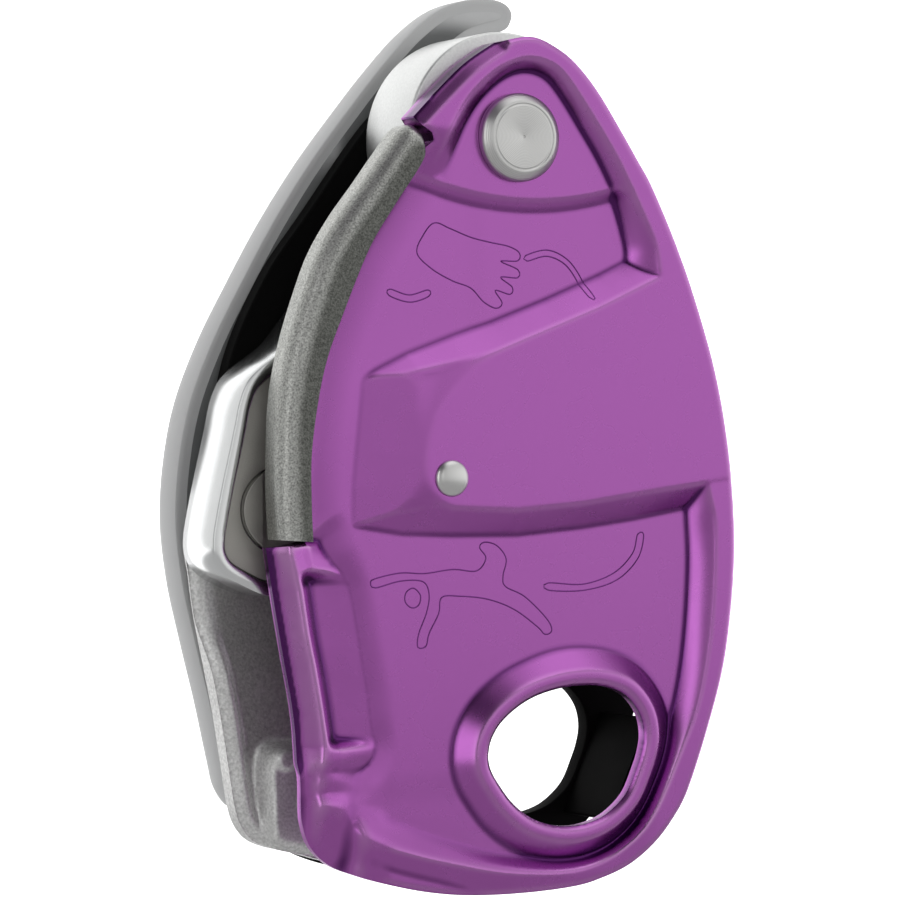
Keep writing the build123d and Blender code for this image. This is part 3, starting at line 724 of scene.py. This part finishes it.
def plate_floor(P):
    """Height of the pressed floor, and how far it rolls off towards the left edge."""
    x, z = P[:, 0], P[:, 1]
    boss_line = 62.4 + 0.0125 * (x + 4.3) ** 2
    floor = ICON_FLOOR + (FLOOR - ICON_FLOOR) * smooth((50 - z) / 14)
    floor = floor + (BOSS - ICON_FLOOR) * smooth((z - boss_line + 1.0) / 1.7)
    edge_d, _ = nearest(P, left_edge)
    upper = smooth((z - 20) / 8)
    roll = (0.45 + 0.75 * upper) * np.clip(1 - edge_d / (2.6 + 2.0 * upper), 0, 1) ** 2
    return floor, roll


def wall_rise(P):
    """0 on the floor and 1 on the rim, with the walls of both pockets between, gentler at the bottom."""
    x, z = P[:, 0], P[:, 1]
    from_foot, from_top = np.clip(to_foot(P), 0, None), np.clip(-to_top(P), 0, None)
    t = from_foot / (from_foot + from_top + 1e-6)
    bottom = smooth((-1.0 - z) / 4) * smooth((9 - x) / 6)
    steep = ease(0.62 * t + 0.38 * (1 - (1 - t) ** 2), 0.07)
    return steep * (1 - bottom) + (0.5 * t + 0.5 * smooth(t)) * bottom


def bottom_chamfer(P):
    """How far the rim falls away outside its wall along the bottom, most at the lower left."""
    x, z = P[:, 0], P[:, 1]
    return np.maximum(to_top(P), 0) * 0.62 * smooth((6.0 - x) / 24) * smooth((4 - z) / 5)


def rim_level(P, floor, roll):
    """Height of the rim, which fades out at the upper left and is lower at the bottom."""
    x, z = P[:, 0], P[:, 1]
    fade = smooth((71.0 - z) / 7.5) * smooth((-9.0 - x) / 3) * smooth((z - 40) / 5)
    level = RIM - fade * (RIM - floor + roll)
    level = level - 1.1 * smooth((12 - x) / 10) * smooth((-3 - z) / 5)
    level = level - bottom_chamfer(P)
    # bevel with a fine step along the top left edge
    d, _ = nearest(P, top_left)
    bevel = smooth((-3.5 - x) / 3) * smooth((z - 66) / 4)
    return level - bevel * (np.clip(1.05 - d, 0, 1.05) * 0.95 + 0.22 * smooth((1.25 - d) / 0.22))


def ring_level(P):
    """Height of the ring round the attachment hole and of the slope outside it."""
    crest = RIM - 0.1
    slope = 2.3 + 0.5 * smooth((P[:, 0] + P[:, 1] - 4) / 10)
    return np.minimum(crest - np.clip((to_hole(P) - 1.65) / slope, -0.1, 1.6) * 2.4, crest)


def strip_level(P):
    """Height of the strip at the lower left (flange, ridge and groove), and which points are in it."""
    x, z = P[:, 0], P[:, 1]
    height = np.clip(z, -8, 24.4)

    def at(line):
        """X of a line, listed from its top, at each point's height."""
        line = np.array(line)[::-1]
        return np.interp(height, line[:, 1], line[:, 0])

    corner, groove, ridge = at(CORNER), at(GROOVE), at(STRIP_RIDGE)
    edge = at(FLANGE[::-1] + [(-31.9, -8.0)])
    groove_level = 7.35 - 1.85 * smooth((21.6 - z) / 1.6) * smooth((z - 1.6) / 1.3)
    corner_level = FLOOR - 0.45
    flank = 1 - (1 - np.clip((x - edge) / (ridge - edge + 1e-9), 0, 1)) ** 1.6
    into_groove = smooth((x - ridge) / (groove - ridge))
    out_of_groove = np.clip((x - groove) / (corner - groove), 0, 1)
    level = np.where(x < ridge, EDGE + (STRIP - EDGE) * flank,
                     np.where(x < groove, STRIP + (groove_level - STRIP) * into_groove,
                              groove_level + (corner_level - groove_level) * out_of_groove))
    # shallow dip below the groove's lower end
    level = level - 0.35 * np.exp(-((z + 0.9) / 0.8) ** 2) * (x > ridge - 0.6)
    return level - bottom_chamfer(P), (x < corner) & (z < 24.5)


def plate_relief(P):
    """Height of the side plate's front face."""
    x, z = P[:, 0], P[:, 1]
    floor, roll = plate_floor(P)
    h = floor - roll + (rim_level(P, floor, roll) - floor + roll) * wall_rise(P)
    h = np.maximum(h, (floor - roll) + (RIM - floor + roll) * ease(pad_height(P), 0.05))
    h = soft_max(h, ring_level(P), 0.22)
    # the strip runs out into the rim at its lower end
    strip, in_strip = strip_level(P)
    low = smooth((-1.0 - z) / 3.6)
    h = np.where(in_strip, strip * (1 - low) + np.minimum(strip, h) * low, h)
    # rounded edges, sharper along the wear bar
    from_edge = -to_edge(P)
    along_bar = (x < -17) & (z > 24)
    h = h - np.where(along_bar, edge_round(from_edge, 0.22), edge_round(from_edge, 0.5))
    h = h - edge_round(to_hole(P), 0.75)
    return np.maximum(h, EDGE)


def plate_back(P, h):
    """Flat back, hollow behind the raised pad and round the attachment hole, 0.9 mm behind the front
    where that is farther back."""
    hollow = smooth(np.minimum(pad_height(P), 1.0) * 1.6 - 0.6)
    hollow = np.maximum(hollow, smooth((2.6 - to_hole(P)) / 1.6))
    return np.maximum(PLATE_BACK - (RIM - SHEET + PLATE_BACK) * hollow, -h + 0.9)


STEP = 0.22
plate_face = Relief(plate_relief, outline, 0.15, 0.15,
                    soften=lambda P: smooth((-21 - P[:, 0]) / 2) * smooth((0.5 - P[:, 1]) / 2))
relief_piece("side_plate_shell", outline, plate_face, plate_back, STEP, "side_plate",
             PURPLE, ["moving_side_plate"], hole)


# ------------------------------------------------------------------ generic pressed pictures
def raised_line(name, paths, width=0.26, rise=0.05):
    """Fine pressed lines that follow the plate's floor, in a darker purple that is painted shade of the
    pressed lines.
    """
    verts, faces = [], []
    for pts, closed in paths:
        c = curve(pts, closed, 0.35) if len(pts) > 3 else np.array(pts, float)
        t = (np.roll(c, -1, 0) - np.roll(c, 1, 0)) if closed else np.gradient(c, axis=0)
        t /= np.maximum(np.linalg.norm(t, axis=1, keepdims=True), 1e-9)
        nrm = np.stack([-t[:, 1], t[:, 0]], 1)
        a, b = c - nrm * width / 2, c + nrm * width / 2
        ha, hm, hb = plate_face(a), plate_face(c), plate_face(b)
        base = len(verts)
        for k in range(len(c)):
            verts += [(a[k][0], -ha[k] + 0.03, a[k][1]), (c[k][0], -hm[k] - rise, c[k][1]),
                      (b[k][0], -hb[k] + 0.03, b[k][1]), (c[k][0], -hm[k] + 0.25, c[k][1])]
        n = len(c)
        for k in range(n if closed else n - 1):
            p, q = base + 4 * k, base + 4 * ((k + 1) % n)
            faces += [(p + s, q + s, q + (s + 1) % 4, p + (s + 1) % 4) for s in range(4)]
        if not closed:
            faces += [(base, base + 1, base + 2, base + 3),
                      tuple(base + 4 * (n - 1) + s for s in (3, 2, 1, 0))]
    return outward(new_object(name, verts, faces, "side_plate", PURPLE_LINE_SHADE, 60))


HAND = [
    (-18.0, 56.6), (-17.2, 58.6), (-15.8, 60.0), (-13.8, 59.4), (-11.2, 58.5), (-8.8, 58.0), (-6.4, 57.6),
    (-5.0, 56.9), (-5.2, 56.0), (-7.4, 55.9), (-5.2, 55.0), (-5.2, 54.1), (-7.4, 54.1), (-5.9, 53.0),
    (-6.2, 52.2), (-8.1, 52.6), (-7.2, 51.2), (-8.0, 50.6), (-9.6, 51.3), (-11.2, 52.8), (-13.6, 53.6),
    (-16.2, 54.9)]
CLIMBER_HEAD = [(-18.6, 19.3), (-19.5, 18.8), (-19.6, 17.8), (-18.8, 17.1), (-17.9, 17.4), (-17.7, 18.5)]
CLIMBER = [
    (-23.4, 20.4), (-20.2, 21.0), (-17.2, 20.9), (-13.6, 21.3), (-10.6, 21.1), (-9.4, 22.5),
    (-10.2, 23.7), (-9.6, 24.3), (-8.0, 23.9), (-6.8, 22.4), (-7.2, 20.5), (-6.9, 19.3), (-4.4, 18.1),
    (-1.6, 15.6), (-0.9, 14.2), (-1.8, 13.8), (-2.8, 14.7), (-5.8, 16.7), (-9.2, 17.9), (-12.8, 18.3),
    (-15.0, 18.2), (-15.4, 16.4), (-16.6, 14.2), (-17.0, 12.8), (-18.0, 12.7), (-17.9, 14.2),
    (-16.9, 16.6), (-16.6, 18.6), (-17.4, 20.0), (-20.2, 20.1), (-23.3, 19.4), (-23.9, 19.9)]
ROPES = [([(-4.2, 56.6), (-1.4, 57.3), (1.2, 56.3), (3.0, 54.2), (3.9, 51.9), (3.3, 52.0), (2.4, 54.0),
           (0.8, 55.8), (-1.5, 56.6), (-4.0, 56.0)], True),
         ([(-21.4, 52.5), (-19.0, 51.9), (-16.6, 52.5), (-16.5, 51.8), (-18.9, 51.1), (-21.5, 51.8)], True),
         ([(-1.4, 19.6), (3.2, 19.4), (7.2, 20.6), (9.7, 22.8), (10.4, 25.0), (11.2, 24.9),
           (10.4, 22.2), (7.6, 19.8), (3.3, 18.7), (-1.4, 18.8)], True)]
raised_line("hand_picture", [(HAND, True)])
raised_line("climber_picture", [(CLIMBER, True), (CLIMBER_HEAD, True)])
raised_line("rope_picture", ROPES)

# ------------------------------------------------------------------ wear bar
def resampled(line, count):
    """A polyline's points, evenly spaced along it."""
    s = np.concatenate([[0], np.cumsum(np.linalg.norm(np.diff(line, axis=0), axis=1))])
    t = np.linspace(0, s[-1], count)
    return np.stack([np.interp(t, s, line[:, k]) for k in (0, 1)], 1)


def swept_bar(name, right, left, front, back, radius, body, material, nodes, tone_width):
    """Bar between two edge lines, with its left front edge rounded and its top end eased; its tone is 1
    along the rounded left edge, lighter steel that is partly rope wear and partly painted highlight.
    """
    count = 260
    R, L = resampled(right, count), resampled(left, count)
    W = np.linalg.norm(L - R, axis=1)
    run = np.arange(count) * np.linalg.norm(np.diff(L, axis=0), axis=1).mean()
    ease_end = edge_round(run, 1.3)
    arc = np.linspace(0, np.pi / 2, 15)
    rows = []
    for off, y in ((0, back), (0, front + 0.22), (0.06, front + 0.06), (0.22, front)):
        rows.append((W - off, np.full(count, y)))
    for k in np.linspace(1, 0, 9)[1:-1]:
        rows.append((radius + (W - 0.22 - radius) * k, np.full(count, front)))
    for q in arc:
        off, fall = radius * (1 - np.sin(q)), radius * (1 - np.cos(q))
        rows.append((np.full(count, off), np.full(count, front + fall)))
    rows.append((np.zeros(count), np.full(count, back)))
    verts, tone = [], []
    for d, y in rows:
        P = L + (R - L) * (np.minimum(d, W) / W)[:, None]
        yy = np.minimum(y + ease_end, back)
        verts.append(np.stack([P[:, 0], yy, P[:, 1]], 1))
        # tone near the rounded left edge: partly rope wear, partly painted highlight
        tone.append(1 - smooth((d - tone_width) / 1.4))
    n, m = count, len(rows)
    verts = np.vstack(verts)
    faces = [(r * n + i, (r + 1) % m * n + i, (r + 1) % m * n + i + 1, r * n + i + 1)
             for r in range(m) for i in range(n - 1)]
    faces += [tuple(r * n for r in range(m)), tuple(r * n + n - 1 for r in range(m))[::-1]]
    ob = outward(new_object(name, verts, faces, body, material, 35, nodes))
    point_values(ob.data, "tone", np.concatenate(tone))
    return ob


swept_bar("wear_bar_body", curve(BAR_EDGE, False)[::-1], curve(BAR_OUTER, False), -8.6, SPACE_FRONT, 2.3,
          "side_plate", BLASTED, ["wear_bar"], 1.3)

# ------------------------------------------------------------------ rivets
turned_piece("hinge_rivet_head", HINGE,
             [(0, -8.80), (0.10, -8.80), (0.16, -8.88), (0.24, -8.90), (3.52, -8.90), (3.62, -8.84),
              (3.74, -8.84), (3.84, -8.90), (4.05, -8.89), (4.15, -8.84), (4.62, -8.42), (4.88, -8.20),
              (4.98, -7.98), (5.0, -7.8), (5.0, -7.4), (4.94, -7.27), (3.0, -7.26), (3.0, 9.0),
              (4.3, 9.0), (4.45, 9.15), (4.45, 9.8), (4.2, 10.15), (3.8, 10.2), (0, 10.2)],
             "frame", TURNED, ["hinge_rivet"])
dome = [(2.05 * np.sin(a), -9.05 - 0.85 * np.cos(a)) for a in np.linspace(0, np.pi / 2, 14)]
dome[0] = (0, dome[0][1])
turned_piece("wear_rivet_head", WEAR_RIVET,
             dome + [(2.05, -8.98), (1.25, -8.97), (1.25, SPACE_FRONT), (0, SPACE_FRONT)],
             "side_plate", SATIN, ["wear_rivet"])

# ------------------------------------------------------------------ frame pieces
hinge_ring = circle(HINGE, 12.2, 160)
block_loop = hinge_ring[hinge_ring[:, 1] > 64.5]
gap = int(np.argmax(np.linalg.norm(np.roll(block_loop, -1, 0) - block_loop, axis=1)))
block_loop = np.roll(block_loop, -gap - 1, 0)
cut_piece("hinge_block_body", block_loop, [], SPACE_FRONT, SPACE_BACK, 0.35, "frame",
          FORGED, ["hinge_block"])
fixed_hole = hole + (FAR_HOLE_SHIFT, 0)
cut_piece("fixed_plate_body", curve(FIXED), [fixed_hole], SPACE_BACK, FIXED_BACK, 0.25, "frame",
          BLACK, ["fixed_side_plate"])

block_outline = curve(LOWER_BLOCK)
block_left = curve(LOWER_BLOCK[:12], False)
block_pad = curve(BLOCK_PAD)


BLOCK_FACE, BLOCK_TOP = -5.4, -6.45
BLOCK_BOSS = (-29.8, 0.1)


def block_relief(P):
    """Height of the rope guide's front: a face with a rim, a raised pad and a boss, sinking at the top."""
    d, _ = nearest(P, block_left)
    h = BLOCK_FACE + 0.9 * (1 - smooth((d - 1.4) / 1.2))
    pad = signed(P, block_pad)
    h = soft_max(h, BLOCK_FACE + 2.8 * smooth((-pad + 0.5) / 1.5), 0.2)
    boss = np.linalg.norm(P - BLOCK_BOSS, axis=1)
    h = h + 0.6 * (1 - smooth((boss - 0.9) / 0.7))
    top = smooth((P[:, 1] - 9.0) / 7.4)
    h = h * (1 - top) + np.minimum(h, BLOCK_TOP) * top
    return h - edge_round(d, 1.5)


def block_tone(P):
    """1 on the rough recessed face, 0 on the rim, the pad and the boss."""
    d, _ = nearest(P, block_left)
    return smooth((d - 2.0) / 0.8) * smooth((signed(P, block_pad) - 0.2) / 0.8)


relief_piece("lower_block_body", block_outline, Relief(block_relief, block_outline, 0.15, 0.15),
             lambda P, h: np.full(len(P), 7.6), 0.3, "frame", CAST, ["lower_block"],
             tone=block_tone)

# ------------------------------------------------------------------ cam
cam = curve(CAM)
stack_piece("cam_shell", cam,
            [(0.6, 6.3), (0.2, 6.15), (0.0, 5.8), (0.0, -1.7), (0.1, -1.95), (0.35, -2.1), (1.3, -2.1),
             (1.45, -2.02), (1.52, -1.85), (1.55, -0.9)],
            "cam", POLISHED, ["cam_body"])
insert = inset(cam, 1.68)
cut_piece("cam_cover", insert, [circle(AXLE, 4.9)], -1.62, -0.88, 0.1, "cam", COVER,
          ["cam_face_insert"])
turned_piece("axle_disc", AXLE, [(0, -1.25), (4.35, -1.25), (4.55, -1.2), (4.6, -1.05), (4.6, -0.95),
                                 (3.0, -0.94), (3.0, 13.4), (0, 13.4)],
             "frame", COVER, ["cam_axle"])
seg = circle(AXLE, 4.5, 120)
seg = seg[seg[:, 0] < -34.6]
seg = seg[np.argsort(-seg[:, 1])]
cut_piece("axle_disc_step", seg, [], -1.7, -1.2, 0.08, "frame", COVER)

# ------------------------------------------------------------------ handle
grip = curve(GRIP)
stack_piece("handle_shell", grip,
            [(1.1, 9.95), (0.75, 9.9), (0.3, 9.84), (0.1, 9.9), (0.0, 10.15), (0.0, 13.4), (0.15, 14.4),
             (0.5, 15.2), (1.05, 15.85), (1.8, 16.3), (2.6, 16.5), (3.4, 16.6)],
            "handle", PLASTIC, ["handle_grip"], 40)
face_outline = inset(grip, 1.5)


def painted_face_shade(P):
    """1 where shade is painted over the handle's front face, on its lower part and round the hinge block; 0
    towards the tip.
    """
    r = np.linalg.norm(P - HINGE, axis=1)
    return np.maximum(smooth((72 - P[:, 1]) / 7), smooth((15.6 - r) / 2.6))


def face_relief(P):
    """The face lies flat at the handle's front, falling a little at its edge."""
    return -9.80 - 0.12 * edge_round(-signed(P, face_outline), 0.9)


# thin sheet over the handle's front that carries the painted shade
relief_piece("handle_face_painted_shade", face_outline, Relief(face_relief, face_outline, 0.4, 0),
             lambda P, h: np.full(len(P), 10.0), 0.5, "handle", PLASTIC_SHADED_FACE,
             tone=painted_face_shade)

# ------------------------------------------------------------------ CAD pieces that stay
STAY = ((SATIN, ("hinge_washer", "friction_plate", "friction_rivet_1", "friction_rivet_2", "block_rivet_1",
                 "block_rivet_2", "handle_stop", "handle_rivet_1", "handle_rivet_2")),
        (DARK, ("axle_ring", "cam_spring", "cam_drive_pin", "handle_arm")),
        (BLACK, ("plate_spacer",)))
for finish, names in STAY:
    for name in names:
        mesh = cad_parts[name].data
        mesh.materials.clear()
        mesh.materials.append(finish)

# ------------------------------------------------------------------ stage, light and camera
VIEW = np.radians(28)  # the camera stands this far round to the left of the front
CAMERA_DISTANCE = 0.450
FLOOR_LEVEL = -0.16


def sheet(name, profile, colour, glow):
    """Part of the studio sweep: a profile of (distance away from the camera, height)."""
    right, away = np.array([np.cos(VIEW), -np.sin(VIEW)]), np.array([np.sin(VIEW), np.cos(VIEW)])
    verts, faces = [], []
    for d, up in profile:
        verts += [(*(right * s + away * d), up + FLOOR_LEVEL) for s in (-1.6, 1.6)]
    for k in range(len(profile) - 1):
        faces.append((2 * k, 2 * k + 1, 2 * k + 3, 2 * k + 2))
    mesh = bpy.data.meshes.new(name)
    mesh.from_pydata(verts, [], faces)
    mesh.shade_smooth()
    ob = linked(name, mesh)
    m = bpy.data.materials.new(name)
    m.use_nodes = True
    b = m.node_tree.nodes["Principled BSDF"]
    b.inputs["Base Color"].default_value = (*colour, 1)
    b.inputs["Roughness"].default_value = 0.9
    b.inputs["Emission Color"].default_value = (1, 1, 1, 1)
    b.inputs["Emission Strength"].default_value = glow
    mesh.materials.append(m)


bpy.context.scene.view_settings.view_transform = "Standard"
sheet("studio_floor", [(-1.6, 0.0), (0.35, 0.0)], (0.55, 0.55, 0.55), 0.0)
bend = [(0.5 + 0.5 * np.sin(a), 0.5 - 0.5 * np.cos(a)) for a in np.linspace(0, np.pi / 2, 16)]
sheet("studio_sweep", [(0.35, 0.0)] + bend + [(1.0, 1.3)], (0.9, 0.9, 0.9), 0.9)

# soft surroundings: bright to the right and behind, dim above to the left, dark grey below
world = bpy.data.worlds.new("studio")
bpy.context.scene.world = world
world.use_nodes = True
wt = world.node_tree
direction = wt.nodes.new("ShaderNodeSeparateXYZ")
wt.links.new(wt.nodes.new("ShaderNodeTexCoord").outputs["Generated"], direction.inputs["Vector"])


def by_direction(axis, start, end, first, second):
    """Colour that goes from the first to the second as a direction's X, Y or Z goes from start to end."""
    return blend_colour(wt, map_range(wt, direction.outputs[axis], start, end), first, second)


horizon = by_direction("X", -0.6, 0.9, (0.48, 0.48, 0.48), (1.22, 1.22, 1.22))
upper = by_direction("X", -0.30, 0.05, (0.10, 0.09, 0.11), (0.80, 0.80, 0.80))
sky = by_direction("Z", 0.30, 0.62, horizon, upper)
sky = by_direction("Z", -0.10, -0.55, sky, (0.12, 0.11, 0.13))
sky = by_direction("Y", -0.15, 0.45, sky, (0.95, 0.95, 0.95))
wt.links.new(sky, wt.nodes["Background"].inputs["Color"])
wt.nodes["Background"].inputs["Strength"].default_value = 0.95


def spot(az, el, dist, size, power):
    """Soft light at an azimuth (from the front, right positive) and elevation, aimed at the device."""
    a, e = np.radians(az), np.radians(el)
    aim = np.array([-0.01, 0, 0.035])
    place = aim + dist * np.array([np.sin(a) * np.cos(e), -np.cos(a) * np.cos(e), np.sin(e)])
    data = bpy.data.lights.new("light", "AREA")
    data.shape, data.size, data.size_y = "RECTANGLE", size[0], size[1]
    data.energy = power
    ob = linked("light", data)
    ob.location = tuple(place)
    ob.rotation_euler = Vector(tuple(aim - place)).to_track_quat("-Z", "Y").to_euler()


spot(-62, 8, 0.9, (0.28, 0.9), 1.0)
spot(-20, 12, 1.0, (0.06, 0.7), 0.16)
spot(40, 62, 0.9, (0.7, 0.5), 0.6)

cam_data = bpy.data.cameras.new("camera")
cam_data.sensor_width, cam_data.lens = 36, 158.4
cam_data.clip_start, cam_data.clip_end = 0.01, 20
camera = linked("camera", cam_data)
target = Vector((-10.43, 0, 34.65)) * MM
camera.location = target + Vector((-np.sin(VIEW), -np.cos(VIEW), 0)) * CAMERA_DISTANCE
camera.rotation_euler = (target - camera.location).to_track_quat("-Z", "Y").to_euler()
bpy.context.scene.camera = camera
